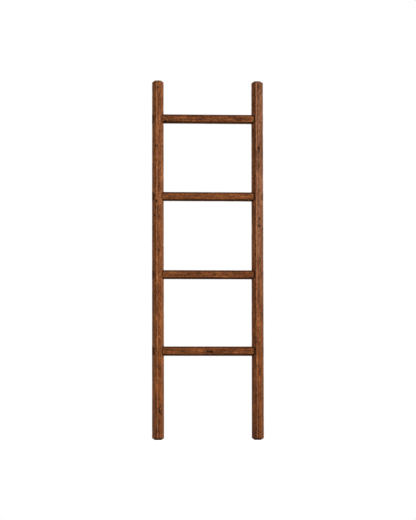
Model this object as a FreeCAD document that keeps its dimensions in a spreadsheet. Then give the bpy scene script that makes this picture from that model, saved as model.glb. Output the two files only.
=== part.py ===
import FreeCAD, Part
import os

import Sketcher

# Blanket ladder: two tapered, chamfered posts joined by four chamfered rungs. Each rung passes right
# through both posts and is trimmed flush with their outer faces, where its end grain shows.
# Frame: +Z up along the posts, -Y the front, +X to the right, origin on the floor midway between
# the feet. Every length is in millimetres.

driving_sizes = [
    ("post_height", 1524.0, "floor to the top of a post"),
    ("post_spacing", 424.0, "between the centre lines of the posts"),
    ("post_width_foot", 49.4, "post from face to face, at the foot"),
    ("post_width_top", 47.8, "post from face to face, at the top"),
    ("post_flat", 21.8, "flat left between the chamfers of a post"),
    ("bevel_rise", 8.0, "height of the bevel round each end of a post"),
    ("bevel_inset", 11.0, "how far that bevel goes in from each face"),
    ("top_rung_drop", 163.0, "top of a post down to the middle of the top rung"),
    ("upper_rung_step", 330.0, "top rung down to the next one, middle to middle"),
    ("bottom_rung_level", 375.5, "floor to the middle of the lowest rung"),
    ("lower_rung_step", 324.0, "lowest rung up to the next one, middle to middle"),
    ("rung_rise", 37.5, "rung from underside to top"),
    ("bottom_rung_rise", 39.5, "the same for the lowest rung, which is a little thicker"),
    ("rung_depth", 39.5, "rung from front to back"),
    ("rung_chamfer", 8.2, "chamfer on the long edges of a rung"),
    ("mortise_clearance", 0.15, "gap all round a rung in its mortise"),
    ("nail_length", 32.0, "nail from head to tip"),
    ("nail_shank", 2.0, "diameter of the nail's shank"),
    ("nail_head", 3.2, "diameter of the nail's head"),
    ("nail_head_depth", 1.6, "length of the nail's head"),
    ("nail_point", 3.0, "length of the nail's point"),
    ("nail_clearance", 0.05, "gap all round a nail in its hole"),
    ("cut_overrun", 2.0, "how far a cutting tool starts outside the wood"),
]
rung_levels = {
    "top_rung": "sizes.post_height - sizes.top_rung_drop",
    "upper_rung": "sizes.post_height - sizes.top_rung_drop - sizes.upper_rung_step",
    "lower_rung": "sizes.bottom_rung_level + sizes.lower_rung_step",
    "bottom_rung": "sizes.bottom_rung_level",
}
rung_rises = {
    "top_rung": "sizes.rung_rise",
    "upper_rung": "sizes.rung_rise",
    "lower_rung": "sizes.rung_rise",
    "bottom_rung": "sizes.bottom_rung_rise",
}
post_sides = {"left_post": -1, "right_post": 1}


class At:
    """Sketcher's own numbers: the two ends of a line, the sketch's axes and its origin point."""
    START, END = 1, 2
    AXIS_X, AXIS_Y = -1, -2
    ORIGIN = (-1, 1)


UP = FreeCAD.Vector(0, 0, 1)
FORWARD = FreeCAD.Rotation(FreeCAD.Vector(1, 0, 0), 90)

doc = FreeCAD.newDocument("blanket_ladder")


def make_sheet():
    """The spreadsheet that holds every driving size."""
    sheet = doc.addObject("Spreadsheet::Sheet", "sizes")
    for row, (name, value, note) in enumerate(driving_sizes, start=1):
        sheet.set(f"A{row}", name)
        sheet.set(f"B{row}", str(value))
        sheet.set(f"C{row}", note)
        sheet.setAlias(f"B{row}", name)
    doc.recompute()


def bind(thing, links):
    """Bind properties of an object to expressions on the sheet's sizes."""
    for prop, expression in links.items():
        thing.setExpression(prop, expression)


def place(thing, x="0", y="0", z="0"):
    bind(thing, {"Placement.Base.x": x, "Placement.Base.y": y, "Placement.Base.z": z})


def post_centre(side):
    return f"{side} * sizes.post_spacing / 2"


def post_half_width(level):
    """Half the tapered post's width at a level, between the two bevelled ends."""
    share = f"({level} - sizes.bevel_rise) / (sizes.post_height - 2 * sizes.bevel_rise)"
    growth = f"(sizes.post_width_top - sizes.post_width_foot) * {share}"
    return f"(sizes.post_width_foot + {growth}) / 2"


def add_sketch(body, name, plane_role):
    """An empty sketch on one of the body's own origin planes."""
    sketch = body.newObject("Sketcher::SketchObject", name)
    plane = next(item for item in body.Origin.OriginFeatures if item.Role == plane_role)
    sketch.AttachmentSupport = [(plane, "")]
    sketch.MapMode = "FlatFace"
    return sketch


def add_outline(sketch, corners):
    """Draw straight lines from corner to corner and close them into one outline."""
    points = [FreeCAD.Vector(x, y, 0) for x, y in corners]
    for index, point in enumerate(points):
        sketch.addGeometry(Part.LineSegment(point, points[(index + 1) % len(points)]))
    for index in range(len(points)):
        following = (index + 1) % len(points)
        sketch.addConstraint(Sketcher.Constraint("Coincident", index, At.END, following, At.START))


def add_measures(sketch, measures):
    """Named dimensions, each bound to its expression."""
    for name, (kind, ends, length, expression) in measures.items():
        number = sketch.addConstraint(Sketcher.Constraint(kind, *ends, length))
        sketch.renameConstraint(number, name)
        sketch.setExpression(f"Constraints.{name}", expression)


def draw_octagon(sketch, across_x, across_y, flat_x, flat_y):
    """A rectangle with its corners cut off, centred on the origin, sized by four expressions."""
    reach, flat = 20.0, 10.0
    add_outline(sketch, [(-flat, -reach), (flat, -reach), (reach, -flat), (reach, flat),
                         (flat, reach), (-flat, reach), (-reach, flat), (-reach, -flat)])
    low, right, high, left = 0, 2, 4, 6
    sketch.addConstraint(Sketcher.Constraint("Symmetric", low, At.START, low, At.END, At.AXIS_Y))
    sketch.addConstraint(Sketcher.Constraint("Symmetric", right, At.START, right, At.END, At.AXIS_X))
    for side, opposite in ((low, high), (right, left)):
        for end in (At.START, At.END):
            sketch.addConstraint(Sketcher.Constraint("Symmetric", side, end, opposite, end, *At.ORIGIN))
    add_measures(sketch, {
        "flat_x": ("DistanceX", (low, At.START, low, At.END), 2 * flat, flat_x),
        "flat_y": ("DistanceY", (right, At.START, right, At.END), 2 * flat, flat_y),
        "across_x": ("DistanceX", (left, At.START, right, At.START), 2 * reach, across_x),
        "across_y": ("DistanceY", (low, At.START, high, At.START), 2 * reach, across_y),
    })


def draw_elevation(sketch, across_foot, across_top):
    """A post seen square on: widths at the foot and the top, and a bevel at all four corners."""
    across, inset, rise, height = 45.0, 10.0, 8.0, 1500.0
    wide, narrow = across / 2, across / 2 - inset
    add_outline(sketch, [(-narrow, 0), (narrow, 0), (wide, rise), (wide, height - rise),
                         (narrow, height), (-narrow, height), (-wide, height - rise), (-wide, rise)])
    foot_end, foot_bevel, right, top_bevel, top_end, _, left, _ = range(8)
    for one, other in (((foot_end, At.START), (foot_end, At.END)), ((right, At.START), (left, At.END)),
                       ((right, At.END), (left, At.START)), ((top_end, At.START), (top_end, At.END))):
        sketch.addConstraint(Sketcher.Constraint("Symmetric", *one, *other, At.AXIS_Y))
    sketch.addConstraint(Sketcher.Constraint("PointOnObject", foot_end, At.START, At.AXIS_X))
    narrowing = "2 * sizes.bevel_inset"
    add_measures(sketch, {
        "foot_end": ("DistanceX", (foot_end, At.START, foot_end, At.END), 2 * narrow,
                     f"{across_foot} - {narrowing}"),
        "foot": ("DistanceX", (left, At.END, right, At.START), 2 * wide, across_foot),
        "top": ("DistanceX", (left, At.START, right, At.END), 2 * wide, across_top),
        "top_end": ("DistanceX", (top_end, At.END, top_end, At.START), 2 * narrow,
                    f"{across_top} - {narrowing}"),
        "foot_rise": ("DistanceY", (foot_bevel, At.START, foot_bevel, At.END), rise, "sizes.bevel_rise"),
        "top_rise": ("DistanceY", (top_bevel, At.START, top_bevel, At.END), rise, "sizes.bevel_rise"),
        "height": ("DistanceY", (foot_end, At.END, top_end, At.START), height, "sizes.post_height"),
    })


def make_post_blank(name, side):
    """A post before its mortises: what four slabs, an eighth of a turn apart, have in common."""
    square = ("sizes.post_width_foot", "sizes.post_width_top")
    diagonal = tuple(f"({across} + sizes.post_flat) / sqrt(2)" for across in square)
    slabs = []
    for turn, widths in ((0, square), (45, diagonal), (90, square), (135, diagonal)):
        slab = doc.addObject("PartDesign::Body", f"{name}_slab_{turn}")
        elevation = add_sketch(slab, f"{name}_elevation_{turn}", "XZ_Plane")
        draw_elevation(elevation, *widths)
        pad = slab.newObject("PartDesign::Pad", f"{name}_pad_{turn}")
        pad.Profile = elevation
        pad.SideType = "Symmetric"
        bind(pad, {"Length": "2 * (sizes.post_width_foot + sizes.post_width_top)"})
        slab.Placement.Rotation = FreeCAD.Rotation(UP, turn)
        place(slab, x=post_centre(side))
        slabs.append(slab)
    blank = doc.addObject("Part::MultiCommon", name)
    blank.Shapes = slabs
    return blank


def make_bar(name, level, rung_rise, gap="0"):
    """A chamfered bar along X at a rung's level, longer than the ladder is wide."""
    body = doc.addObject("PartDesign::Body", name)
    section = add_sketch(body, f"{name}_section", "YZ_Plane")
    depth, rise = f"sizes.rung_depth + 2 * {gap}", f"{rung_rise} + 2 * {gap}"
    corner = f"2 * (sizes.rung_chamfer + {gap} * (2 - sqrt(2)))"
    draw_octagon(section, depth, rise, f"{depth} - {corner}", f"{rise} - {corner}")
    pad = body.newObject("PartDesign::Pad", f"{name}_pad")
    pad.Profile = section
    pad.SideType = "Symmetric"
    bind(pad, {"Length": "sizes.post_spacing + sizes.post_width_foot + sizes.post_width_top"})
    place(body, z=level)
    return body


def make_cope(blanks):
    """The space a rung may fill: both posts' outlines and everything between their centre lines."""
    span = doc.addObject("Part::Box", "cope_span")
    bind(span, {
        "Length": "sizes.post_spacing",
        "Width": "2 * sizes.rung_depth",
        "Height": "sizes.post_height",
    })
    place(span, x=post_centre(-1), y="-sizes.rung_depth")
    cope = doc.addObject("Part::MultiFuse", "cope")
    cope.Shapes = [*blanks, span]
    return cope


def make_nail(name, x, y, z):
    """A finishing nail along Y, its head at the given place and its point towards the front."""
    body = doc.addObject("PartDesign::Body", name)
    profile = add_sketch(body, f"{name}_profile", "XY_Plane")
    head, shank, neck, shoulder, tip = 2.0, 1.0, -2.0, -30.0, -32.0
    add_outline(profile, [(0, 0), (head, 0), (head, neck), (shank, neck), (shank, shoulder), (0, tip)])
    head_top, head_side, head_under, shank_side, _, axis = range(6)
    profile.addConstraint(Sketcher.Constraint("Coincident", head_top, At.START, *At.ORIGIN))
    for line in (head_top, head_under):
        profile.addConstraint(Sketcher.Constraint("Horizontal", line))
    for line in (head_side, shank_side, axis):
        profile.addConstraint(Sketcher.Constraint("Vertical", line))
    add_measures(profile, {
        "head_radius": ("DistanceX", (head_top, At.START, head_top, At.END), head, "sizes.nail_head / 2"),
        "head_depth": ("DistanceY", (head_side, At.END, head_side, At.START), -neck,
                       "sizes.nail_head_depth"),
        "shank_radius": ("DistanceX", (*At.ORIGIN, shank_side, At.START), shank, "sizes.nail_shank / 2"),
        "shank_reach": ("DistanceY", (shank_side, At.END, *At.ORIGIN), -shoulder,
                        "sizes.nail_length - sizes.nail_point"),
        "reach": ("DistanceY", (axis, At.START, axis, At.END), -tip, "sizes.nail_length"),
    })
    turn = body.newObject("PartDesign::Revolution", f"{name}_turn")
    turn.Profile = profile
    turn.ReferenceAxis = (profile, ["V_Axis"])
    turn.Angle = 360
    place(body, x, y, z)
    return body


def make_drill(name, x, y, z, diameter, depth):
    """A round cutter along Y that starts outside the wood and stops at a depth below its face."""
    drill = doc.addObject("Part::Cylinder", name)
    bind(drill, {
        "Radius": f"sizes.{diameter} / 2 + sizes.nail_clearance",
        "Height": f"sizes.{depth} + sizes.nail_clearance + sizes.cut_overrun",
    })
    drill.Placement = FreeCAD.Placement(FreeCAD.Vector(), FORWARD)
    place(drill, x, f"{y} + sizes.cut_overrun", z)
    return drill


def make_cut(name, base, tools):
    """The base with every tool taken out of it."""
    tool = doc.addObject("Part::MultiFuse", f"{name}_cuts")
    tool.Shapes = tools
    cut = doc.addObject("Part::Cut", name)
    cut.Base, cut.Tool = base, tool
    return cut


make_sheet()
blanks = {name: make_post_blank(f"{name}_blank", side) for name, side in post_sides.items()}
cope = make_cope(blanks.values())

nails, drills, mortises = [], {}, []
for rung, level in rung_levels.items():
    drills[rung] = []
    for post, side in post_sides.items():
        joint = f"{rung}_{post}"
        x, y = post_centre(side), post_half_width(level)
        nails.append(make_nail(f"{joint}_nail", x, y, level))
        drills[rung].append(make_drill(f"{joint}_shank_hole", x, y, level, "nail_shank", "nail_length"))
        drills[rung].append(make_drill(f"{joint}_head_hole", x, y, level, "nail_head", "nail_head_depth"))
    mortises.append(make_bar(f"{rung}_mortise", level, rung_rises[rung], gap="sizes.mortise_clearance"))

subparts = []
for rung, level in rung_levels.items():
    bar = make_bar(f"{rung}_bar", level, rung_rises[rung])
    trimmed = doc.addObject("Part::Common", f"{rung}_trimmed")
    trimmed.Base, trimmed.Tool = bar, cope
    subparts.append(make_cut(rung, trimmed, drills[rung]))

all_drills = [drill for group in drills.values() for drill in group]
for post in post_sides:
    subparts.append(make_cut(post, blanks[post], [*mortises, *all_drills]))

joint_nails = doc.addObject("Part::Compound", "joint_nails")
joint_nails.Links = nails
subparts.append(joint_nails)

doc.recompute()
for thing in doc.Objects:
    if "Invalid" in thing.State or "Error" in thing.State:
        raise RuntimeError(f"{thing.Name} failed: {thing.State}")
for sketch in doc.findObjects("Sketcher::SketchObject"):
    if not sketch.FullyConstrained:
        raise RuntimeError(f"{sketch.Name} is not fully constrained")
for subpart in subparts:
    if subpart.Shape.isNull() or not subpart.Shape.isValid():
        raise RuntimeError(f"{subpart.Label} has no valid shape")

os.makedirs("parts", exist_ok=True)
for subpart in subparts:
    subpart.Shape.exportStep(f"parts/{subpart.Label}.step")
    shape = subpart.Shape
    print(subpart.Label, len(shape.Solids), "solids", round(shape.Volume), "mm3")
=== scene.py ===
import math

import bpy
import numpy as np
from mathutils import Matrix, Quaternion, Vector


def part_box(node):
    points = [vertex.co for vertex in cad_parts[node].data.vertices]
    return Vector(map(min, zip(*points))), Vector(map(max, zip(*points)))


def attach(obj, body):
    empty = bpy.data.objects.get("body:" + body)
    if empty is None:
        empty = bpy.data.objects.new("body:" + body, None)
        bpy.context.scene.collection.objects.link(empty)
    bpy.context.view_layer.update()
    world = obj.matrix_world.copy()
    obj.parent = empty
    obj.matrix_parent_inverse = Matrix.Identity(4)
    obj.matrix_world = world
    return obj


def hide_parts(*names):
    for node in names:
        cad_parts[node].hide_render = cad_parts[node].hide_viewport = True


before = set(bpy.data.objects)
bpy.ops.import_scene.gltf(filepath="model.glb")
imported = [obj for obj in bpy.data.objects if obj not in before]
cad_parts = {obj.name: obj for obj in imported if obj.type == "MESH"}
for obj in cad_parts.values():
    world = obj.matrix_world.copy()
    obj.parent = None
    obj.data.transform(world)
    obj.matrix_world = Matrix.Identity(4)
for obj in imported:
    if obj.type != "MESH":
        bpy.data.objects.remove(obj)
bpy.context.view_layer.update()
print("frame loaded")

# The ladder is seen from the left and from just above the floor, through a long lens.
cameraLook = {
    "aim": (0.0011, 0.0, 0.7622),  # middle of the picture, in metres
    "fromLeft": 5.5,               # degrees round from square on
    "upward": 2.9,                 # degrees it looks up
    "roll": -0.09,                 # degrees
    "distance": 14.0,
    "pictureHeight": 2.2053,       # metres of ladder that the frame takes in
    "sensor": 36.0,                # millimetres, along the picture's longer side
    "seesTo": 100.0,
}


def addCamera(look):
    turn, lift = math.radians(look["fromLeft"]), math.radians(look["upward"])
    line = Vector((math.sin(turn) * math.cos(lift), math.cos(turn) * math.cos(lift), math.sin(lift)))
    data = bpy.data.cameras.new("photoCamera")
    data.sensor_width = look["sensor"]
    data.lens = look["sensor"] * look["distance"] / look["pictureHeight"]
    data.clip_end = look["seesTo"]
    camera = bpy.data.objects.new("photoCamera", data)
    camera.location = Vector(look["aim"]) - line * look["distance"]
    rolled = line.to_track_quat("-Z", "Y") @ Quaternion((0.0, 0.0, 1.0), math.radians(look["roll"]))
    camera.rotation_euler = rolled.to_euler()
    bpy.context.scene.collection.objects.link(camera)
    bpy.context.scene.camera = camera


addCamera(cameraLook)
print("camera placed")


# Meshes: every piece is one grid of rings, closed by a pole at each end.
def closedGrid(name, points, firstPole, lastPole, values):
    # points is (rings, around, 3); values holds one number per grid point and pole, by attribute name
    rings, around = points.shape[:2]
    spots = np.concatenate([points.reshape(-1, 3), [firstPole, lastPole]])
    ring, step = np.meshgrid(np.arange(rings - 1), np.arange(around), indexing="ij")
    ahead = (step + 1) % around
    quads = np.stack([ring * around + step, ring * around + ahead,
                      (ring + 1) * around + ahead, (ring + 1) * around + step], -1).reshape(-1, 4)
    step = np.arange(around)
    ahead = (step + 1) % around
    first, last, top = rings * around, rings * around + 1, (rings - 1) * around
    fans = np.concatenate([np.stack([np.full(around, first), ahead, step], -1),
                           np.stack([np.full(around, last), top + step, top + ahead], -1)])
    mesh = bpy.data.meshes.new(name)
    mesh.vertices.add(len(spots))
    mesh.vertices.foreach_set("co", spots.astype(np.float32).ravel())
    mesh.loops.add(quads.size + fans.size)
    mesh.loops.foreach_set("vertex_index", np.concatenate([quads.ravel(), fans.ravel()]).astype(np.int32))
    mesh.polygons.add(len(quads) + len(fans))
    starts = np.concatenate([np.arange(len(quads)) * 4, quads.size + np.arange(len(fans)) * 3])
    mesh.polygons.foreach_set("loop_start", starts.astype(np.int32))
    mesh.update(calc_edges=True)
    mesh.validate()
    mesh.polygons.foreach_set("use_smooth", np.ones(len(mesh.polygons), dtype=bool))
    for key, numbers in values.items():
        layer = mesh.attributes.new(key, "FLOAT", "POINT")
        layer.data.foreach_set("value", numbers.astype(np.float32))
    piece = bpy.data.objects.new(name, mesh)
    bpy.context.scene.collection.objects.link(piece)
    return piece


def roundedPath(corners, cut, step):
    # straight runs of about one step, with each inner corner replaced by a quadratic curve
    # that leaves its run at cut before the corner and joins the next at cut after it
    corners = np.array(corners, dtype=float)
    share = np.linspace(0, 1, 6)[:, None]      # six points round each corner
    path, start = [corners[:1]], corners[0]
    for here, after in zip(corners[1:-1], corners[2:]):
        into = (here - start) / np.linalg.norm(here - start)
        out = (after - here) / np.linalg.norm(after - here)
        enter, leave = here - into * cut, here + out * cut
        count = max(int(np.linalg.norm(enter - start) / step), 1)
        path.append(start + (enter - start) * np.linspace(0, 1, count + 1)[1:-1, None])
        path.append((1 - share) ** 2 * enter + 2 * share * (1 - share) * here + share ** 2 * leave)
        start = leave
    count = max(int(np.linalg.norm(corners[-1] - start) / step), 1)
    path.append(start + (corners[-1] - start) * np.linspace(0, 1, count + 1)[1:, None])
    return np.concatenate(path)


def softReach(angle, depths, sharpness):
    # reach from the centre line to eight planes an eighth of a turn apart: the nearest of
    # depth / cos(angle away from the plane), taken as a power mean so that the arrises are rounded
    usual = 0.02                               # a middling reach, which keeps the powers near one
    facing = np.cos(angle[..., None] - np.arange(8) * math.pi / 4)
    nearness = usual * np.maximum(facing, 0) / depths
    power = sharpness[..., None]
    return usual * ((nearness ** power).sum(-1)) ** (-1 / sharpness)


def ripple(along, around, pitch, seed):
    # sum of nine sine waves of random phase, whole numbers of them round the piece, between -1 and 1
    chance = np.random.default_rng(seed)
    waves, total = 9, 0
    for _ in range(waves):
        turns = 2 * math.pi / pitch * chance.uniform(0.5, 1.6)
        lobes = int(chance.integers(0, 4))
        phase = chance.uniform(0, 6.28)
        total = total + np.sin(turns * along + lobes * around + phase)
    return np.clip(total / (waves / 2), -1, 1)


def hollows(along, around, radius, spots):
    # sum of dips, each depth * exp(-(way along / radius along) squared - (way round / radius across) squared)
    total = np.zeros(np.broadcast(along, around).shape)
    for place, turn, wide, long, depth in spots:
        off = (around - turn + math.pi) % (2 * math.pi) - math.pi
        total += depth * np.exp(-((along - place) / long) ** 2 - (off * radius / wide) ** 2)
    return total


def randomDips(chance, look, span, drawTurn):
    # as many dips as look says, each drawn as a place along the span, a turn, two radii and a depth
    return [(chance.uniform(*span), drawTurn(), chance.uniform(*look["wide"]),
             chance.uniform(*look["long"]), chance.uniform(*look["deep"]))
            for _ in range(look["count"])]


def shownMarks(piece, depth):
    # the marks that the photograph shows, as dips of one depth
    return [(place, math.radians(turn), wide, long, depth) for place, turn, wide, long in piece["marks"]]


def cornerTurns(straightX, straightY, slanted):
    # angles of the eight corners, from the distances of the square and the slanting planes
    first = np.arctan2(math.sqrt(2) * slanted - straightX, straightX)
    second = np.arctan2(straightY, math.sqrt(2) * slanted - straightY)
    return np.stack([first, second, math.pi - second, math.pi - first,
                     math.pi + first, math.pi + second, 2 * math.pi - second, 2 * math.pi - first], -1)


def skinGrid(straightX, straightY, slanted, shares):
    # points spread over each face by the same shares: their angles, and how far each lies from the
    # nearest arris, counted below zero on the chamfers
    turns = cornerTurns(straightX, straightY, slanted)
    reach = np.stack([straightX, straightY, straightY, straightX] * 2, -1)
    facing = np.array([0, 1, 1, 2, 2, 3, 3, 4]) * math.pi / 2
    rho = reach / np.cos(turns - facing)
    spot = np.stack([rho * np.cos(turns), rho * np.sin(turns)], -1)
    side = np.roll(spot, -1, axis=-2) - spot
    laid = spot[..., None, :] + side[..., None, :] * shares[:, None]
    length = np.linalg.norm(side, axis=-1)[..., None]
    sign = np.array([-1, 1] * 4)[:, None]
    toArris = sign * np.minimum(shares, 1 - shares) * length
    rings = len(straightX)
    angle = np.arctan2(laid[..., 1], laid[..., 0])
    return angle.reshape(rings, -1), toArris.reshape(rings, -1)


rungLevels, rungRises = {}, {}
for rungName in ("bottom_rung", "lower_rung", "upper_rung", "top_rung"):
    low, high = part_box(rungName)
    rungLevels[rungName] = (low[2] + high[2]) / 2
    rungRises[rungName] = high[2] - low[2]
levels = np.array(list(rungLevels.values()))
rises = np.array(list(rungRises.values()))
clearOfArris = 0.01                # what end faces carry as their distance from an arris: too far to be worn
seedSteps = {"wear": 20, "uneven": 40}     # added to a piece's seed, for each of its slow patterns

# Posts. Marks are (height, degrees round from +X, radius across, radius along), in metres.
post = {
    "height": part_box("left_post")[1][2],
    "footWidth": 0.0494,
    "topWidth": 0.0478,
    "flat": 0.0218,                # left between the chamfers
    "bevelRise": 0.008,
    "bevelInset": 0.011,
    "bevelRound": 0.001,
    "skinRadius": 0.0235,          # turns an angle into a distance over the skin
    "crisp": 180,                  # how sharp an unworn arris is
    "worn": 70,                    # and a worn one
    "wornPitch": 0.16,
    "uneven": 0.00016,
    "unevenPitch": 0.35,
    "dipSpan": (0.02, 1.5),        # heights between which chips and dents lie
    "chips": {"count": 70, "wide": (0.0015, 0.003), "long": (0.002, 0.012), "deep": (0.0002, 0.0007)},
    "dents": {"count": 60, "wide": (0.002, 0.004), "long": (0.003, 0.008), "deep": (0.0001, 0.0003)},
    "markDepth": 0.0006,
    "nailDip": (0.004, 0.0002),    # radius and depth of the dimple round a nail's head, in the back
    "nailGrime": 0.22,             # glaze left in it
    "ringStep": 0.003,
    "capRings": (0.15, 0.35, 0.55, 0.75, 0.9),     # rings that close each end
    "shares": (0, 0.015, 0.035, 0.065, 0.11, 0.18, 0.27, 0.38,
               0.5, 0.62, 0.73, 0.82, 0.89, 0.935, 0.965, 0.985),
    "firstGuess": 0.022,           # where the search for the skin starts
    "guesses": 12,
}
postPieces = {
    "leftPost": {
        "node": "left_post",
        "seed": 4,
        "marks": ((1.4927, -96.8, 0.0022, 0.003), (1.246, -100.5, 0.0021, 0.0029),
                  (1.2445, -46.4, 0.0021, 0.0032), (1.0113, -107.1, 0.0022, 0.004),
                  (0.9512, -128.1, 0.0018, 0.003), (0.1196, -77.9, 0.0034, 0.0046),
                  (0.1277, -58.1, 0.002, 0.0028), (0.1416, -68.7, 0.002, 0.0032),
                  (0.1335, -85.0, 0.0018, 0.006), (0.1105, -66.0, 0.0015, 0.0045)),
    },
    "rightPost": {
        "node": "right_post",
        "seed": 9,
        "marks": ((1.4703, -60.6, 0.0022, 0.0036), (1.2386, -80.3, 0.0028, 0.0056),
                  (1.226, -78.0, 0.0015, 0.004), (0.9365, -74.9, 0.0021, 0.003),
                  (0.9067, -80.1, 0.0024, 0.004), (0.8947, -31.4, 0.0022, 0.004)),
    },
}


def postHalf(level):
    # half the width between opposite faces, falling evenly from foot to top
    share = np.clip((level - post["bevelRise"]) / (post["height"] - 2 * post["bevelRise"]), 0, 1)
    return (post["footWidth"] + (post["topWidth"] - post["footWidth"]) * share) / 2


def postDepths(level, inset):
    # distances of the square and the slanting planes from the centre line
    half = postHalf(level)
    return half - inset, (2 * half + post["flat"]) / math.sqrt(8) - inset


def nailSpots(depth):
    # one dip at each rung's level, in the middle of the back face
    radius = post["nailDip"][0]
    return [(level, math.pi / 2, radius, radius, depth) for level in levels]


def postWear(piece):
    # random chips along the arrises and shallow dents on the faces, the same in every run
    chance = np.random.default_rng(piece["seed"])
    chips = randomDips(chance, post["chips"], post["dipSpan"],
                       lambda: math.radians(45 * chance.integers(8) + 22.5 + chance.uniform(-3, 3)))
    dents = randomDips(chance, post["dents"], post["dipSpan"], lambda: chance.uniform(-math.pi, math.pi))
    return chips + dents + shownMarks(piece, post["markDepth"]) + nailSpots(post["nailDip"][1])


def postReach(angle, level, inset, piece):
    # the rounded octagon, less a slow unevenness and every dip
    straight, slanted = postDepths(level, inset)
    depths = np.stack([np.broadcast_to(d, angle.shape) for d in (straight, slanted) * 4], -1)
    kept = 0.5 + 0.5 * ripple(level, angle, post["wornPitch"], piece["seed"] + seedSteps["wear"])
    sharpness = post["worn"] + (post["crisp"] - post["worn"]) * kept
    reach = softReach(angle, depths, np.broadcast_to(sharpness, angle.shape))
    slow = 0.5 + 0.5 * ripple(level, angle, post["unevenPitch"], piece["seed"] + seedSteps["uneven"])
    reach = reach - post["uneven"] * slow
    return reach - hollows(level, angle, post["skinRadius"], piece["wear"])


def postOutline():
    # each ring's inset from the side, its height and its scale: the bevelled outline from end to end,
    # with rings that shrink to a pole on each end face
    tall, rise, inset, cut = post["height"], post["bevelRise"], post["bevelInset"], post["bevelRound"]
    path = roundedPath([(inset + cut, 0), (inset, 0), (0, rise), (0, tall - rise), (inset, tall),
                        (inset + cut, tall)], cut * 0.99, post["ringStep"])
    caps = len(post["capRings"])
    insets = np.concatenate([np.full(caps, path[0, 0]), path[:, 0], np.full(caps, path[-1, 0])])
    heights = np.concatenate([np.zeros(caps), path[:, 1], np.full(caps, tall)])
    scale = np.concatenate([post["capRings"], np.ones(len(path)), post["capRings"][::-1]])
    return insets, heights, scale


def makePost(name, piece):
    low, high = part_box(piece["node"])
    middle = (low[0] + high[0]) / 2
    piece["middle"], piece["wear"] = middle, postWear(piece)
    insets, heights, scale = postOutline()
    straight, slanted = postDepths(heights, insets)
    angle, toArris = skinGrid(straight, straight, slanted, np.array(post["shares"]))
    level = heights[:, None]
    reach = postReach(angle, np.broadcast_to(level, angle.shape), insets[:, None], piece) * scale[:, None]
    points = np.stack([middle + reach * np.cos(angle), reach * np.sin(angle),
                       np.broadcast_to(level, angle.shape)], -1)
    nearest = np.abs(level - levels).argmin(-1)
    marks = shownMarks(piece, 1.0) + nailSpots(post["nailGrime"])
    endCut = np.clip(insets / post["bevelInset"], 0, 1)[:, None]
    values = {
        "toArris": np.where(scale[:, None] < 1, clearOfArris, toArris),
        "toRung": np.broadcast_to(level - levels[nearest][:, None], angle.shape),
        "rungHalf": np.broadcast_to(rises[nearest][:, None] / 2, angle.shape),
        "mark": np.clip(hollows(level, angle, post["skinRadius"], marks), 0, 1),
        "endCut": np.broadcast_to(endCut, angle.shape),
    }
    flat = {}
    for key, value in values.items():
        flat[key] = np.concatenate([value.ravel(), [value[0, 0], value[-1, 0]]])
    made = closedGrid(name, points, (middle, 0, 0), (middle, 0, post["height"]), flat)
    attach(made, "root")
    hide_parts(piece["node"])
    return made


for pieceName, piece in postPieces.items():
    piece["object"] = makePost(pieceName, piece)
    print(pieceName, "shaped")

# Rungs. Marks are (distance from the middle, degrees round from +Y, radius across, radius along), in metres.
rung = {
    "depth": 0.0395,
    "chamfer": 0.0082,
    "skinRadius": 0.0185,
    "crisp": 180,
    "worn": 75,
    "wornPitch": 0.12,
    "uneven": 0.00012,
    "unevenPitch": 0.3,
    "wornFrom": 0.01,              # wear grows over this distance from a post
    "dipSpan": (-0.18, 0.18),      # places along the rung between which chips and dents lie
    "chips": {"count": 26, "wide": (0.0012, 0.0025), "long": (0.002, 0.01), "deep": (0.0001, 0.0005)},
    "dents": {"count": 20, "wide": (0.002, 0.004), "long": (0.003, 0.007), "deep": (0.0001, 0.00025)},
    "arrisTurns": [31, 59],        # degrees from each face's middle to the arrises beside it
    "markDepth": 0.0005,
    "ringStep": 0.003,
    "throughPosts": 0.046,         # added to the way between the posts' middles when rings are counted
    "proud": 0.00025,              # how far an end stands out of the post
    "proudRound": 0.0003,          # and how near its edge it reaches that
    "endSoakAndShade": (0.85, 0.05),       # stain held in the left and the right end; the left one is also painted shade, as it faces away from the light
    "farFromPost": 0.02,           # said of the end faces, which the glaze and painted shade of the joints don't reach
    "capRings": (0.985, 0.965, 0.93, 0.87, 0.78, 0.66, 0.52, 0.36, 0.18),
    "shares": (0, 0.02, 0.045, 0.08, 0.14, 0.24, 0.37, 0.5, 0.63, 0.76, 0.86, 0.92, 0.955, 0.98),
}
rungPieces = {
    "topRung": {"node": "top_rung", "seed": 101, "marks": ((-0.1823, -146.0, 0.003, 0.004),)},
    "upperRung": {"node": "upper_rung", "seed": 102, "marks": ()},
    "lowerRung": {"node": "lower_rung", "seed": 103,
                  "marks": ((0.0237, -177.5, 0.0022, 0.003), (0.031, 178.0, 0.0015, 0.002))},
    "bottomRung": {"node": "bottom_rung", "seed": 104,
                   "marks": ((-0.0031, -178.0, 0.0026, 0.0034), (0.0122, -170.8, 0.0034, 0.0044),
                             (0.006, -174.0, 0.0016, 0.0034))},
}


def rungWear(piece):
    chance = np.random.default_rng(piece["seed"])
    chips = randomDips(chance, rung["chips"], rung["dipSpan"],
                       lambda: math.radians(90 * chance.integers(4) + chance.choice(rung["arrisTurns"])))
    dents = randomDips(chance, rung["dents"], rung["dipSpan"], lambda: chance.uniform(-math.pi, math.pi))
    return chips + dents + shownMarks(piece, rung["markDepth"])


def skinOut(across, level, side, carrier):
    # distance from a post's centre line out to its skin, at a place across and a height, found by
    # putting the last answer's angle into the post's own reach until it settles
    out = np.full(across.shape, post["firstGuess"])
    for _ in range(post["guesses"]):
        reach = postReach(np.arctan2(across, side * out), level, 0.0, carrier)
        out = np.sqrt(np.maximum(reach ** 2 - across ** 2, 1e-8))
    return out


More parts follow.
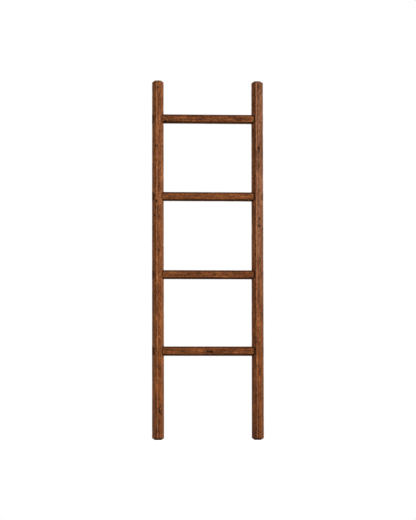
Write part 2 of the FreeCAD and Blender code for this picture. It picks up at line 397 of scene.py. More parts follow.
def endCap(carrier, side, level, endY, endZ):
    # rings that shrink towards the middle, each laid on the post's skin and a hair proud of it
    scale = np.array(rung["capRings"])[:, None]
    y, z = endY * scale, endZ * scale
    lift = rung["proud"] * (1 - np.exp(-(1 - scale) * rung["skinRadius"] / rung["proudRound"]))
    out = skinOut(y, level + z, side, carrier) + lift
    tip = skinOut(np.zeros((1, 1)), np.full((1, 1), level), side, carrier)[0, 0] + rung["proud"]
    pole = (carrier["middle"] + side * tip, 0, level)
    return np.stack([carrier["middle"] + side * out, y, level + z], -1), pole


def makeRung(name, piece):
    level = rungLevels[piece["node"]]
    left, right = postPieces["leftPost"], postPieces["rightPost"]
    halfDeep, halfRise = rung["depth"] / 2, rungRises[piece["node"]] / 2
    slanted = (halfDeep + halfRise - rung["chamfer"]) / math.sqrt(2)
    one = np.ones(1)
    angle, toArris = skinGrid(halfDeep * one, halfRise * one, slanted * one, np.array(rung["shares"]))
    depths = np.array([halfDeep, slanted, halfRise, slanted] * 2)
    # the plain outline, and where it meets the outer and inner skin of each post
    plain = softReach(angle, depths, np.full(angle.shape, float(rung["crisp"])))
    endY, endZ = plain * np.cos(angle), plain * np.sin(angle)
    outerLeft = left["middle"] - skinOut(endY, level + endZ, -1, left)
    outerRight = right["middle"] + skinOut(endY, level + endZ, 1, right)
    innerLeft = left["middle"] + skinOut(endY, level + endZ, 1, left)
    innerRight = right["middle"] - skinOut(endY, level + endZ, -1, right)
    # every line of the skin runs straight from one trimmed end to the other
    count = int((right["middle"] - left["middle"] + rung["throughPosts"]) / rung["ringStep"])
    x = outerLeft + (outerRight - outerLeft) * np.linspace(0, 1, count)[:, None]
    turn = np.broadcast_to(angle, x.shape)
    free = np.minimum(x - innerLeft, innerRight - x)
    bare = np.clip(free / rung["wornFrom"], 0, 1)
    wear = bare * (0.5 + 0.5 * ripple(x, turn, rung["wornPitch"], piece["seed"] + seedSteps["wear"]))
    reach = softReach(turn, depths, rung["crisp"] - (rung["crisp"] - rung["worn"]) * wear)
    slow = 0.5 + 0.5 * ripple(x, turn, rung["unevenPitch"], piece["seed"] + seedSteps["uneven"])
    dips = hollows(x, turn, rung["skinRadius"], rungWear(piece))
    reach = reach - bare * (rung["uneven"] * slow + dips)
    middle = np.stack([x, reach * np.cos(turn), level + reach * np.sin(turn)], -1)
    capLeft, poleLeft = endCap(left, -1, level, endY, endZ)
    capRight, poleRight = endCap(right, 1, level, endY, endZ)
    points = np.concatenate([capLeft[::-1], middle, capRight])
    cut = np.zeros(x.shape)
    cut[0], cut[-1] = rung["endSoakAndShade"]
    # each attribute along the rung, and on its left and right end face
    values = {
        "toArris": (np.broadcast_to(toArris, x.shape), clearOfArris, clearOfArris),
        "toPost": (free, rung["farFromPost"], rung["farFromPost"]),
        "rungHalf": (np.full(x.shape, halfRise), halfRise, halfRise),
        "mark": (np.clip(hollows(x, turn, rung["skinRadius"], shownMarks(piece, 1.0)), 0, 1), 0.0, 0.0),
        "endCut": (cut, *rung["endSoakAndShade"]),
    }
    flat = {}
    capSpots = capLeft.shape[0] * capLeft.shape[1]
    for key, (value, first, last) in values.items():
        flat[key] = np.concatenate([np.full(capSpots, first), value.ravel(), np.full(capSpots, last),
                                    [first, last]])
    made = closedGrid(name, points, poleLeft, poleRight, flat)
    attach(made, "root")
    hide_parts(piece["node"])
    return made


for pieceName, piece in rungPieces.items():
    piece["object"] = makeRung(pieceName, piece)
    print(pieceName, "shaped")


# Materials
def addNode(tree, kind, inputs=None, **settings):
    node = tree.nodes.new(kind)
    for key, value in settings.items():
        setattr(node, key, value)
    for key, value in (inputs or {}).items():
        plug(tree, node.inputs[key], value)
    return node


def plug(tree, socket, value):
    if isinstance(value, bpy.types.NodeSocket):
        tree.links.new(value, socket)
    else:
        socket.default_value = value


def newMaterial(name):
    material = bpy.data.materials.new(name)
    material.use_nodes = True
    return material, material.node_tree, material.node_tree.nodes["Principled BSDF"]


def calc(tree, operation, *values):
    return addNode(tree, "ShaderNodeMath", dict(enumerate(values)), operation=operation).outputs[0]


def product(tree, first, *others):
    total = first
    for value in others:
        total = calc(tree, "MULTIPLY", total, value)
    return total


def weighted(tree, values, weights):
    # sum of each named value times its weight
    total = 0.0
    for key, weight in weights.items():
        total = calc(tree, "MULTIPLY_ADD", values[key], weight, total)
    return total


def vectorCalc(tree, operation, *values):
    return addNode(tree, "ShaderNodeVectorMath", dict(enumerate(values)), operation=operation).outputs[0]


def between(tree, value, low, high, toLow=0.0, toHigh=1.0):
    # smooth step: toLow below low, toHigh above high
    inputs = {"Value": value, "From Min": low, "From Max": high, "To Min": toLow, "To Max": toHigh}
    return addNode(tree, "ShaderNodeMapRange", inputs, interpolation_type="SMOOTHSTEP").outputs[0]


def noise(tree, vector, size, detail, roughness):
    # size is (across the grain, along the grain), in metres
    scaled = vectorCalc(tree, "MULTIPLY", vector, (1 / size[0], 1 / size[0], 1 / size[1]))
    inputs = {"Vector": scaled, "Scale": 1.0, "Detail": detail, "Roughness": roughness}
    return addNode(tree, "ShaderNodeTexNoise", inputs, noise_dimensions="3D").outputs[0]


def paint(red, green, blue):
    # a colour as a paint program writes it, 0 to 255, made linear
    def linear(level):
        level = level / 255
        return level / 12.92 if level <= 0.04045 else ((level + 0.055) / 1.055) ** 2.4
    return linear(red), linear(green), linear(blue), 1.0


def colourMix(tree, share, first, second):
    return addNode(tree, "ShaderNodeMix", {0: share, 6: first, 7: second}, data_type="RGBA").outputs[2]


def colourRamp(tree, value, stops):
    node = addNode(tree, "ShaderNodeValToRGB", {0: value})
    line = node.color_ramp.elements
    line[0].position, line[1].position = stops[0][0], stops[-1][0]
    line[0].color, line[1].color = paint(*stops[0][1]), paint(*stops[-1][1])
    for place, colour in stops[1:-1]:
        line.new(place).color = paint(*colour)
    return node.outputs[0]


# Patterns in the wood: size across and along the grain in metres, detail and roughness. Each stays
# mostly between 0.3 and 0.7, so what cuts a shape out of one has its bounds there.
grainPatterns = {
    "cloud": ((0.03, 0.09), 3.0, 0.5),
    "patch": ((0.011, 0.03), 3.0, 0.55),
    "blotch": ((0.0052, 0.0125), 4.0, 0.68),
    "line": ((0.0042, 0.11), 3.0, 0.5),
    "speck": ((0.0023, 0.0052), 2.0, 0.6),
    "streak": ((0.0019, 0.03), 3.0, 0.55),
    "fibre": ((0.0007, 0.012), 2.0, 0.5),
    "bend": ((0.07, 0.4), 1.0, 0.5),
}
# Stains, from the one held deep in the grain to bare high wood, and the finishes laid over them. A name
# that ends in From gives the two heights on a post between which its change takes place.
woodLook = {
    "stains": ((0.0, (46, 19, 4)), (0.3, (82, 41, 14)), (0.6, (116, 62, 26)), (1.0, (166, 98, 48))),
    "bleached": ((0.0, (52, 28, 16)), (0.3, (88, 53, 34)), (0.6, (121, 78, 53)), (1.0, (168, 117, 86))),
    "mottle": {"blotch": 0.34, "line": 0.16, "cloud": 0.17, "patch": 0.16, "speck": 0.17},
    "spread": 0.092,               # how far the mottle swings either side of its middle
    "highTone": 0.0,               # added to the tone in the upper third
    "highFrom": (0.95, 1.15),
    "bleachFrom": (0.35, 1.0),
    "chamferShadeShare": 0.7,             # share of that which the chamfers away from the light miss, kept as painted shade
    "shadeSide": (-0.004, 0.004),  # across a post, where the side away from the light ends
    "lightSide": (0.004, 0.008),   # and where the side towards it begins
    "ringPitch": 0.0031,
    "pith": (0.034, 0.052),        # middle of the tree, off the piece
    "bent": {"radius": 1.0, "bend": 0.05, "streak": 0.0012},   # a ring's radius, bent by so many metres
    "pore": (52, 24, 9),
    "poreCut": (0.56, 0.68),
    "fleckMix": {"speck": 0.55, "blotch": 0.45},
    "fleckCut": (0.33, 0.42),
    "poreShare": {"ring": 0.22, "pores": 0.5, "fleck": 0.55},
    "rubbedAndHighlight": (160, 106, 70),      # high wood beside an arris, and the painted highlight where the lamps catch it
    "rubbedWidth": 0.0072,
    "rubbedShare": (0.14, 0.72),   # share of it where the wood holds stain, and where it does not
    "heldMix": {"line": 0.5, "blotch": 0.5},
    "rubbedFace": (1.0, 0.25),     # of that on the faces, away from the light and towards it
    "rubbedSlant": (-0.85, 0.75),  # and what the chamfers add
    "shadeLap": (0.0045, 0.0022),       # how far the painted shade laps over an arris, low down and high up
    "lapFrom": (0.1, 0.9),
    "litChamfer": (0.22, 0.1),     # painted light over the chamfers turned to the light, low down and high up
    "litFrom": (1.0, 1.2),
    "dimChamfer": (0.3, 0.14),     # and painted light inside the others
    "dimFrom": (0.2, 0.9),
    "darkGlazeAndShade": (16, 7, 3),           # dark glaze in pits, and glaze with painted shade in joints and beside the arrises
    "glazeWidth": (0.0014, 0.0034),
    "glazeShare": (0.85, 0.4),     # where the blotches are dark, and where they are pale
    "glazeSide": (1.0, 0.15),      # of that away from the light and towards it
    "jointCore": 0.0008,           # how far the glaze and painted shade of a joint is full
    "jointReach": (0.0014, 0.0052),    # how far it spreads, on the posts' outer side and elsewhere
    "endGrain": (74, 37, 13),
    "endShare": 0.85,
    "endLight": (0.35, 1.0),       # share of that at the feet and at the tops, fuller at the tops as painted shade against the lamps above
    "endFrom": (0.3, 1.0),
    "shade": (56, 27, 9),          # laid darker over the feet and tips, and over the chamfers
    "shadeShare": 0.3,
    "footFrom": (0.12, 0.24),
    "tipReach": 0.04,
    "chamferDarkening": 0.0,           # share of the same over the chamfers
    "holeCells": (95.0, 95.0, 48.0),   # worm holes: cells in a metre, across and along the grain
    "holeChance": (0.84, 0.88),    # only cells that draw more than this have one
    "holeSize": (0.08, 0.19),      # of a cell
    "tornMix": {"mark": 1.0, "fibre": 0.6, "speck": 0.5},      # the core of a mark
    "tornCut": (0.68, 1.0),
    "haloMix": {"mark": 1.0, "streak": 0.5, "blotch": 0.4},    # and the stain round it
    "haloCut": (0.44, 0.66),
    "roughness": 0.66,             # to which the stain, the glaze and the end grain add
    "rough": {"paleness": -0.1, "dark": 0.2, "endCut": 0.15},
    "specular": 0.06,
    "bump": {"ring": -0.25, "pores": -0.5, "streak": 0.6, "line": 0.8, "hole": -2.5, "seam": -1.2},
    "bumpDepth": 0.0003,           # metres
    "bumpStrength": 0.6,
}
rungLook = dict(woodLook, **{
    "stains": ((0.0, (44, 18, 5)), (0.3, (76, 40, 16)), (0.6, (106, 59, 28)), (1.0, (150, 89, 46))),
    "rubbedAndHighlight": (138, 82, 42),
    "rubbedWidth": 0.0026,
    "rubbedShare": (0.1, 0.6),
    "pith": (0.046, -0.031),
    "chamferDarkening": 0.8,
    "stainReach": (0.0065, 0.0065),                # how far in the stain and painted shade come, under and over the rung
    "seamGlazeAndShade": (0.65, 0.96),     # glaze and painted shade in the left and the right joint, the right one darker as its corner lies in shadow
    "paleTip": (0.218, 0.224),     # painted light on the right ends, between these distances from the middle
    "paleShare": 0.75,
})
# tone moves a piece lighter or darker, fade is how much of it has bleached, inward points at the rungs,
# and a post's seam numbers give the glaze and painted shade in its joints on the outer and on the inner side
pieceLooks = {
    "leftPost": {"tone": -0.04, "fade": 0.25, "inward": 1.0, "seamGlazeAndShade": (0.5, 0.7),
                 "glazeWidth": (0.002, 0.0046)},
    "rightPost": {"tone": -0.02, "fade": 1.0, "inward": -1.0, "chamferDarkening": 0.2, "seamGlazeAndShade": (0.2, 0.97),
                  "glazeWidth": (0.0026, 0.0052), "shadeLap": (0.0042, 0.003), "dimChamfer": (0.2, 0.05),
                  "highTone": -0.2},
    "topRung": {"tone": -0.1, "spread": 0.074, "stainReach": (0.0095, 0.0065)},
    "upperRung": {"tone": 0.06},
    "lowerRung": {"tone": 0.0},
    "bottomRung": {"tone": 0.02},
}


def woodSpot(tree, axes, centre, seed, attributes):
    # where a spot lies: X, Y and Z from the piece's centre, the same as wide, thick and long by the
    # grain, these moved by the seed for the patterns, and the numbers that the mesh carries
    place = addNode(tree, "ShaderNodeTexCoord").outputs["Object"]
    local = vectorCalc(tree, "SUBTRACT", place, centre)
    part = addNode(tree, "ShaderNodeSeparateXYZ", {0: local}).outputs
    spot = {axis: part[axis] for axis in "XYZ"}
    spot["wide"], spot["thick"], spot["long"] = [part[axis] for axis in axes]
    turned = {0: spot["wide"], 1: spot["thick"], 2: spot["long"]}
    plain = addNode(tree, "ShaderNodeCombineXYZ", turned).outputs[0]
    spot["grain"] = vectorCalc(tree, "ADD", plain, (seed * 0.37, seed * 0.53, seed * 1.91))
    for key in attributes:
        spot[key] = addNode(tree, "ShaderNodeAttribute", attribute_name=key).outputs["Fac"]
    return spot


def grainNoises(tree, spot, seed):
    # every pattern runs with the grain, but for the blotches, which lean across it
    lean = calc(tree, "MULTIPLY_ADD", spot["long"], 0.28, calc(tree, "ADD", spot["wide"], spot["thick"]))
    skew = calc(tree, "SUBTRACT", spot["wide"], spot["thick"])
    leaning = addNode(tree, "ShaderNodeCombineXYZ", {0: lean, 1: skew, 2: spot["long"]}).outputs[0]
    leaning = vectorCalc(tree, "ADD", leaning, (seed * 0.71, seed * 0.19, seed * 1.13))
    return {key: noise(tree, leaning if key == "blotch" else spot["grain"], size, detail, roughness)
            for key, (size, detail, roughness) in grainPatterns.items()}


def growthRings(tree, spot, grain, look):
    # a sine of the distance from the pith, bent by slow noise, from 0 to 1 and narrow at its crests
    offWide = calc(tree, "ADD", spot["wide"], look["pith"][0])
    offThick = calc(tree, "ADD", spot["thick"], look["pith"][1])
    squares = calc(tree, "ADD", product(tree, offWide, offWide), product(tree, offThick, offThick))
    radius = weighted(tree, dict(grain, radius=calc(tree, "SQRT", squares)), look["bent"])
    wave = calc(tree, "SINE", product(tree, radius, 2 * math.pi / look["ringPitch"]))
    return calc(tree, "POWER", calc(tree, "MULTIPLY_ADD", wave, 0.5, 0.5), 2.5)


def woodGrain(tree, spot, look, seed):
    # the patterns, and the growth rings, pores and flecks made from them
    grain = grainNoises(tree, spot, seed)
    grain["ring"] = growthRings(tree, spot, grain, look)
    grain["pores"] = between(tree, grain["fibre"], *look["poreCut"])
    grain["fleck"] = between(tree, weighted(tree, grain, look["fleckMix"]), *look["fleckCut"], 1.0, 0.0)
    return grain


def stainPaleness(tree, grain, look, lift):
    # 0 where the wood has drunk most stain, 1 where it stayed pale
    mottle = calc(tree, "ADD", weighted(tree, grain, look["mottle"]), look["tone"] * look["spread"])
    mottle = calc(tree, "ADD", mottle, lift)
    inputs = {"Value": mottle, "From Min": 0.5 - look["spread"], "From Max": 0.5 + look["spread"]}
    return addNode(tree, "ShaderNodeMapRange", inputs).outputs[0]


def laidOver(tree, colour, share, finish):
    return colourMix(tree, share, colour, paint(*finish))


def withPores(tree, colour, grain, look):
    # dark rings, pores and flecks over the stain
    for key, share in look["poreShare"].items():
        colour = laidOver(tree, colour, product(tree, grain[key], share), look["pore"])
    return colour


def chamferShare(tree, edge):
    # 1 on a chamfer, 0 on a flat face, edge being the distance from the arris between them
    return between(tree, edge, -0.0007, -0.0001, 1.0, 0.0)


def rubbedAndHighlitArris(tree, grain, onChamfer, apart, onFlat, onSlant, look):
    # ragged patches of high wood along the arrises, with a painted highlight where the lamps catch them:
    # onFlat of them on the faces, and onSlant more on the chamfers, where it may be below zero
    ragged = calc(tree, "MULTIPLY_ADD", calc(tree, "SUBTRACT", grain["streak"], 0.5), 0.008, apart)
    rubbedAndHighlight = between(tree, ragged, 0.0004, look["rubbedWidth"], 1.0, 0.0)
    held = between(tree, weighted(tree, grain, look["heldMix"]), 0.4, 0.6, *look["rubbedShare"])
    return product(tree, rubbedAndHighlight, calc(tree, "MULTIPLY_ADD", onChamfer, onSlant, onFlat), held)


def arrisGlazeAndShade(tree, grain, onChamfer, apart, side, look):
    # dark glaze and painted shade on the chamfers, in a line beside the arris, fullest away from the light;
    # side is its share on this side of the piece
    line = product(tree, onChamfer, between(tree, apart, *look["glazeWidth"], 1.0, 0.0), side)
    return product(tree, line, between(tree, grain["blotch"], 0.38, 0.6, *look["glazeShare"]))


def rungOutline(tree, across, level, rungHalf):
    # distance out of a rung's outline, below zero inside it: the largest of the distances out of its
    # upright sides, its top and bottom, and its chamfers
    beside = calc(tree, "SUBTRACT", calc(tree, "ABSOLUTE", across), rung["depth"] / 2)
    above = calc(tree, "SUBTRACT", calc(tree, "ABSOLUTE", level), rungHalf)
    corner = calc(tree, "ADD", calc(tree, "ADD", beside, above), rung["chamfer"])
    straight = calc(tree, "MAXIMUM", beside, above)
    return calc(tree, "MAXIMUM", straight, product(tree, corner, math.sqrt(0.5))), above


def holesAndMarks(tree, spot, grain, look):
    # worm holes, one in seven cells or so, and the marks that the photograph shows: a torn core and a halo
    cells = vectorCalc(tree, "MULTIPLY", spot["grain"], look["holeCells"])
    inputs = {"Vector": cells, "Scale": 1.0, "Randomness": 1.0}
    worm = addNode(tree, "ShaderNodeTexVoronoi", inputs, feature="F1")
    drawn = addNode(tree, "ShaderNodeSeparateColor", {0: worm.outputs["Color"]}).outputs[0]
    hole = product(tree, between(tree, worm.outputs["Distance"], *look["holeSize"], 1.0, 0.0),
                   between(tree, drawn, *look["holeChance"]))
    marked = dict(grain, mark=spot["mark"])
    torn = between(tree, weighted(tree, marked, look["tornMix"]), *look["tornCut"])
    halo = between(tree, weighted(tree, marked, look["haloMix"]), *look["haloCut"])
    return calc(tree, "MAXIMUM", hole, torn), halo


def endSoakAndShade(tree, spot, look):
    # end grain drinks more stain; on the rungs' left ends and the post tops the share also holds painted
    # shade
    return between(tree, spot["endCut"], 0.0, 0.4, 0.0, look["endShare"])


def finishWood(tree, shader, spot, grain, look, colour, paleness, seam, glazeAndShadeLine):
    # dark glaze in marks, and glaze with painted shade in joints and beside arrises, then roughness and bump
    # from what lies under it
    hole, halo = holesAndMarks(tree, spot, grain, look)
    marks = calc(tree, "MAXIMUM", product(tree, hole, 0.96), product(tree, halo, 0.62))
    dark = calc(tree, "MAXIMUM", calc(tree, "MAXIMUM", seam, glazeAndShadeLine), marks)
    plug(tree, shader.inputs["Base Color"], laidOver(tree, colour, dark, look["darkGlazeAndShade"]))
    rough = weighted(tree, {"paleness": paleness, "dark": dark, "endCut": spot["endCut"]}, look["rough"])
    plug(tree, shader.inputs["Roughness"], calc(tree, "ADD", rough, look["roughness"]))
    shader.inputs["Specular IOR Level"].default_value = look["specular"]
    height = weighted(tree, dict(grain, hole=hole, seam=seam), look["bump"])
    inputs = {"Strength": look["bumpStrength"], "Distance": look["bumpDepth"], "Height": height}
    plug(tree, shader.inputs["Normal"], addNode(tree, "ShaderNodeBump", inputs).outputs[0])


def lappedEdge(tree, spot, grain, shadeSide, look):
    # distance from a post's arris, less how far the painted shade laps over it on the side away from the
    # light, which moves the painted highlight further in
    uneven = calc(tree, "MULTIPLY_ADD", grain["line"], 2.4, -0.2)
    shadeLap = product(tree, shadeSide, between(tree, spot["Z"], *look["lapFrom"], *look["shadeLap"]), uneven)
    return calc(tree, "SUBTRACT", spot["toArris"], shadeLap)


def bleachedLessShade(tree, spot, shadeSide, onChamfer, look):
    # light from the right has bleached the upper part of a post; its chamfers away from the light get least,
    # which is painted shade
    paintedShade = product(tree, onChamfer, shadeSide, look["chamferShadeShare"])
    return product(tree, between(tree, spot["Z"], *look["bleachFrom"]), look["fade"],
                   calc(tree, "SUBTRACT", 1.0, paintedShade))


def footAndTip(tree, spot, grain, look):
    # darker at the foot and the tip, up to an uneven line
    level = calc(tree, "MULTIPLY_ADD", grain["cloud"], 0.12, spot["Z"])
    foot = between(tree, level, *look["footFrom"], look["shadeShare"], 0.0)
    tip = between(tree, level, post["height"], post["height"] + look["tipReach"], 0.0, look["shadeShare"])
    return calc(tree, "MAXIMUM", foot, tip)


def chamferPaintedLight(tree, spot, onChamfer, apart, shadeSide, lightSide, look):
    # painted light on a post's chamfers: all over those turned to the light, along the middle of the others
    lit = product(tree, lightSide, between(tree, spot["Z"], *look["litFrom"], *look["litChamfer"]))
    dim = product(tree, between(tree, apart, 0.003, 0.007), shadeSide,
                  between(tree, spot["Z"], *look["dimFrom"], *look["dimChamfer"]))
    return product(tree, calc(tree, "ADD", lit, dim), onChamfer)


def postSeam(tree, spot, look):
    # glaze and painted shade round the rungs, darkest where the joints' corners lie in shadow, spread wide on
    # the post's inner side and tight on its outer one
    outline = rungOutline(tree, spot["Y"], spot["toRung"], spot["rungHalf"])[0]
    inner = between(tree, product(tree, spot["wide"], look["inward"]), -0.003, 0.003)
    reach = between(tree, inner, 0.0, 1.0, *look["jointReach"])
    seam = between(tree, outline, look["jointCore"], reach, 1.0, 0.0)
    return product(tree, seam, between(tree, inner, 0.0, 1.0, *look["seamGlazeAndShade"]))


def postMaterial(name, look, middle, seed):
    material, tree, shader = newMaterial(name)
    spot = woodSpot(tree, "XYZ", (middle, 0, 0), seed, ("toArris", "mark", "endCut", "toRung", "rungHalf"))
    grain = woodGrain(tree, spot, look, seed)
    # the side away from the light, and the chamfers turned to it
    shadeSide = between(tree, spot["wide"], *look["shadeSide"], 1.0, 0.0)
    lightSide = between(tree, spot["wide"], *look["lightSide"])
    edge = lappedEdge(tree, spot, grain, shadeSide, look)
    apart = calc(tree, "ABSOLUTE", edge)
    onChamfer = chamferShare(tree, edge)

    # stain, bleached higher up, less on the chamfers away from the light as painted shade
    lift = between(tree, spot["Z"], *look["highFrom"], 0.0, look["highTone"] * look["spread"])
    paleness = stainPaleness(tree, grain, look, lift)
    bleached = bleachedLessShade(tree, spot, shadeSide, onChamfer, look)
    colour = colourMix(tree, bleached, colourRamp(tree, paleness, look["stains"]),
                       colourRamp(tree, paleness, look["bleached"]))
    colour = withPores(tree, colour, grain, look)
    colour = laidOver(tree, colour, footAndTip(tree, spot, grain, look), look["shade"])
    # end grain darker, fuller at the tops, where it is painted shade against the lamps above
    soakedAndShaded = between(tree, spot["Z"], *look["endFrom"], *look["endLight"])
    soakedAndShaded = product(tree, endSoakAndShade(tree, spot, look), soakedAndShaded)
    colour = laidOver(tree, colour, soakedAndShaded, look["endGrain"])

    # arrises rubbed light with a painted highlight, and painted light on the chamfers
    onFlat = between(tree, lightSide, 0.0, 1.0, *look["rubbedFace"])
    onSlant = between(tree, lightSide, 0.0, 1.0, *look["rubbedSlant"])
    rubbedAndHighlight = rubbedAndHighlitArris(tree, grain, onChamfer, apart, onFlat, onSlant, look)
    chamferLight = chamferPaintedLight(tree, spot, onChamfer, apart, shadeSide, lightSide, look)
    colour = laidOver(tree, colour, calc(tree, "MAXIMUM", rubbedAndHighlight, chamferLight), look["rubbedAndHighlight"])
    colour = laidOver(tree, colour, product(tree, onChamfer, look["chamferDarkening"]), look["shade"])

    # a dark line beside the arrises: glaze and painted shade, fullest on the side away from the light
    side = between(tree, lightSide, 0.0, 1.0, *look["glazeSide"])
    glazeAndShadeLine = arrisGlazeAndShade(tree, grain, onChamfer, apart, side, look)
    finishWood(tree, shader, spot, grain, look, colour, paleness, postSeam(tree, spot, look), glazeAndShadeLine)
    return material


def rungMaterial(name, look, level, seed):
    material, tree, shader = newMaterial(name)
    spot = woodSpot(tree, "YZX", (0, 0, level), seed, ("toArris", "mark", "endCut", "toPost", "rungHalf"))
    grain = woodGrain(tree, spot, look, seed)
    apart = calc(tree, "ABSOLUTE", spot["toArris"])
    onChamfer = chamferShare(tree, spot["toArris"])
    outline, above = rungOutline(tree, spot["Y"], spot["Z"], spot["rungHalf"])

    # stain, end grain with painted shade on the left end, and arrises rubbed light with a painted highlight
    paleness = stainPaleness(tree, grain, look, 0.0)
    colour = withPores(tree, colourRamp(tree, paleness, look["stains"]), grain, look)
    colour = laidOver(tree, colour, endSoakAndShade(tree, spot, look), look["endGrain"])
    onFlat, onSlant = look["rubbedFace"][0], look["rubbedSlant"][0]
    rubbedAndHighlight = rubbedAndHighlitArris(tree, grain, onChamfer, apart, onFlat, onSlant, look)
    colour = laidOver(tree, colour, rubbedAndHighlight, look["rubbedAndHighlight"])

    # stain and painted shade gather on the outer half of the chamfers
    stainedFrom = between(tree, spot["Z"], -0.001, 0.001, *look["stainReach"])
    outer = between(tree, calc(tree, "ADD", above, stainedFrom), -0.002, 0.0025)
    colour = laidOver(tree, colour, product(tree, onChamfer, outer, look["chamferDarkening"]), look["shade"])
    # painted light on the right ends, which face the lamps, in the bleached colours of the post beside them
    tip = product(tree, between(tree, spot["X"], *look["paleTip"]), look["paleShare"])
    colour = colourMix(tree, tip, colour, colourRamp(tree, paleness, look["bleached"]))

    # dark glaze and painted shade beside the posts and round the end faces
    seam = product(tree, between(tree, spot["toPost"], look["jointCore"], look["jointReach"][1], 1.0, 0.0),
                   between(tree, spot["X"], -0.05, 0.05, *look["seamGlazeAndShade"]),
                   calc(tree, "SUBTRACT", 1.0, spot["endCut"]))
    rim = product(tree, between(tree, outline, -0.0016, -0.0002), spot["endCut"])
    glazeAndShadeLine = arrisGlazeAndShade(tree, grain, onChamfer, apart, look["glazeSide"][0], look)
    finishWood(tree, shader, spot, grain, look, colour, paleness, calc(tree, "MAXIMUM", seam, rim), glazeAndShadeLine)
    return material


# The nails' steel: dull bright metal with patches of tarnish.
steelLook = {
    "bright": (146, 144, 140),
    "tarnished": (74, 58, 48),
    "fineScale": 2600.0,           # grains in a metre
    "patchScale": 600.0,
    "patchFrom": (0.45, 0.62),
    "roughness": (0.32, 0.5),
    "bumpDepth": 0.00005,
    "bumpStrength": 0.3,
}


def steelMaterial(name, look):
    material, tree, shader = newMaterial(name)
    place = addNode(tree, "ShaderNodeTexCoord").outputs["Object"]
    inputs = {"Vector": place, "Scale": look["fineScale"], "Detail": 3.0}
    fine = addNode(tree, "ShaderNodeTexNoise", inputs).outputs[0]
    inputs = {"Vector": place, "Scale": look["patchScale"], "Detail": 2.0}
    patch = addNode(tree, "ShaderNodeTexNoise", inputs).outputs[0]
    tarnish = between(tree, patch, *look["patchFrom"])
    plug(tree, shader.inputs["Base Color"],
         colourMix(tree, tarnish, paint(*look["bright"]), paint(*look["tarnished"])))
    shader.inputs["Metallic"].default_value = 1.0
    plug(tree, shader.inputs["Roughness"], between(tree, fine, 0.3, 0.7, *look["roughness"]))
    inputs = {"Strength": look["bumpStrength"], "Distance": look["bumpDepth"], "Height": fine}
    plug(tree, shader.inputs["Normal"], addNode(tree, "ShaderNodeBump", inputs).outputs[0])
    return material


for pieceName, piece in postPieces.items():
    look = dict(woodLook, **pieceLooks[pieceName])
    wood = postMaterial(pieceName + "Wood", look, piece["middle"], piece["seed"])
    piece["object"].data.materials.append(wood)
for pieceName, piece in rungPieces.items():
    look = dict(rungLook, **pieceLooks[pieceName])
    wood = rungMaterial(pieceName + "Wood", look, rungLevels[piece["node"]], piece["seed"])
    piece["object"].data.materials.append(wood)
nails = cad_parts["joint_nails"]
nails.data.materials.clear()
nails.data.materials.append(steelMaterial("nailSteel", steelLook))
print("materials made")

# Studio: a pale floor, white surroundings and large soft lamps.
studio = {
    "floorRadius": 3.2,
    "floorRings": 11,
    "floorSteps": 96,
    "floorGrey": 0.36,             # what it gives back of the light
    "floorGlow": 0.66,             # and its own light, for what looks at it
    "whiteFrom": (0.5, 0.95),      # it turns white between these shares of its radius
    "ambient": 0.37,               # light from all round
    "lampAim": (0, 0, 0.8),
    "lamps": {
        "key": {"place": (2.6, -3.9, 3.5), "size": 1.6, "power": 360.0},
        "front": {"place": (0.3, -5.0, 1.8), "size": 2.6, "power": 40.0},
        "left": {"place": (-2.8, -2.2, 0.5), "size": 1.8, "power": 22.0},
        "back": {"place": (-1.8, 4.2, 2.6), "size": 2.4, "power": 130.0},
    },
}


def addLamp(name, look, aim):
    data = bpy.data.lights.new(name, "AREA")
    data.shape = "DISK"
    data.size = look["size"]
    data.energy = look["power"]
    lamp = bpy.data.objects.new(name, data)
    lamp.location = look["place"]
    lamp.rotation_euler = (Vector(aim) - Vector(look["place"])).to_track_quat("-Z", "Y").to_euler()
    lamp.visible_camera = False
    bpy.context.scene.collection.objects.link(lamp)


def seenDirectly(tree):
    # 1 for what the camera, a reflection or clear glass sees, 0 for the light that falls on things
    path = addNode(tree, "ShaderNodeLightPath").outputs
    return calc(tree, "MAXIMUM", calc(tree, "MAXIMUM", path["Is Camera Ray"], path["Is Glossy Ray"]),
                path["Is Transmission Ray"])


def addWorld(look):
    world = bpy.data.worlds.new("studioAir")
    bpy.context.scene.world = world
    world.use_nodes = True
    tree = world.node_tree
    back = tree.nodes["Background"]
    back.inputs["Color"].default_value = (1, 1, 1, 1)
    strength = calc(tree, "MAXIMUM", seenDirectly(tree), look["ambient"])
    plug(tree, back.inputs["Strength"], strength)


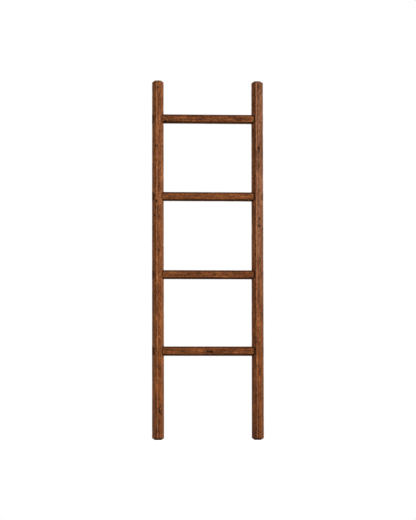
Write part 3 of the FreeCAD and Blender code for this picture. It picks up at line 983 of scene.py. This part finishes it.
def floorMaterial(look):
    material, tree, shader = newMaterial("paleFloor")
    tree.nodes.remove(shader)
    white = (1, 1, 1, 1)
    place = addNode(tree, "ShaderNodeTexCoord").outputs["Object"]
    out = addNode(tree, "ShaderNodeVectorMath", {0: place}, operation="LENGTH").outputs["Value"]
    start, end = look["whiteFrom"]
    rim = between(tree, out, look["floorRadius"] * start, look["floorRadius"] * end)
    matt = addNode(tree, "ShaderNodeBsdfDiffuse", {"Color": (look["floorGrey"],) * 3 + (1,)}).outputs[0]
    seen = seenDirectly(tree)
    strength = product(tree, seen, look["floorGlow"])
    glow = addNode(tree, "ShaderNodeEmission", {"Color": white, "Strength": strength}).outputs[0]
    lit = addNode(tree, "ShaderNodeAddShader", {0: matt, 1: glow}).outputs[0]
    plain = addNode(tree, "ShaderNodeEmission", {"Color": white, "Strength": 1.0}).outputs[0]
    mixed = addNode(tree, "ShaderNodeMixShader", {0: product(tree, rim, seen), 1: lit, 2: plain}).outputs[0]
    plug(tree, tree.nodes["Material Output"].inputs["Surface"], mixed)
    return material


def addFloor(look):
    # a disc of rings, each turned once round, lying at the feet, with a fan in the middle
    rings, around = look["floorRings"], look["floorSteps"]
    turn = np.linspace(0, 2 * math.pi, around, endpoint=False)
    radius = np.linspace(0, look["floorRadius"], rings + 1)[1:, None]
    points = np.stack([radius * np.cos(turn), radius * np.sin(turn), np.zeros((rings, around))], -1)
    points = points.reshape(-1, 3).tolist()
    ring, step = np.meshgrid(np.arange(rings - 1), np.arange(around), indexing="ij")
    ahead = (step + 1) % around
    inner, outer = ring * around, (ring + 1) * around
    quads = np.stack([inner + step, outer + step, outer + ahead, inner + ahead], -1).reshape(-1, 4)
    fans = [[len(points), index, (index + 1) % around] for index in range(around)]
    mesh = bpy.data.meshes.new("studioFloor")
    mesh.from_pydata(points + [[0, 0, 0]], [], quads.tolist() + fans)
    mesh.materials.append(floorMaterial(look))
    floor = bpy.data.objects.new("studioFloor", mesh)
    bpy.context.scene.collection.objects.link(floor)


addFloor(studio)
addWorld(studio)
for lampName, lampLook in studio["lamps"].items():
    addLamp(lampName, lampLook, studio["lampAim"])
bpy.context.scene.view_settings.view_transform = "Standard"
print("studio lit")
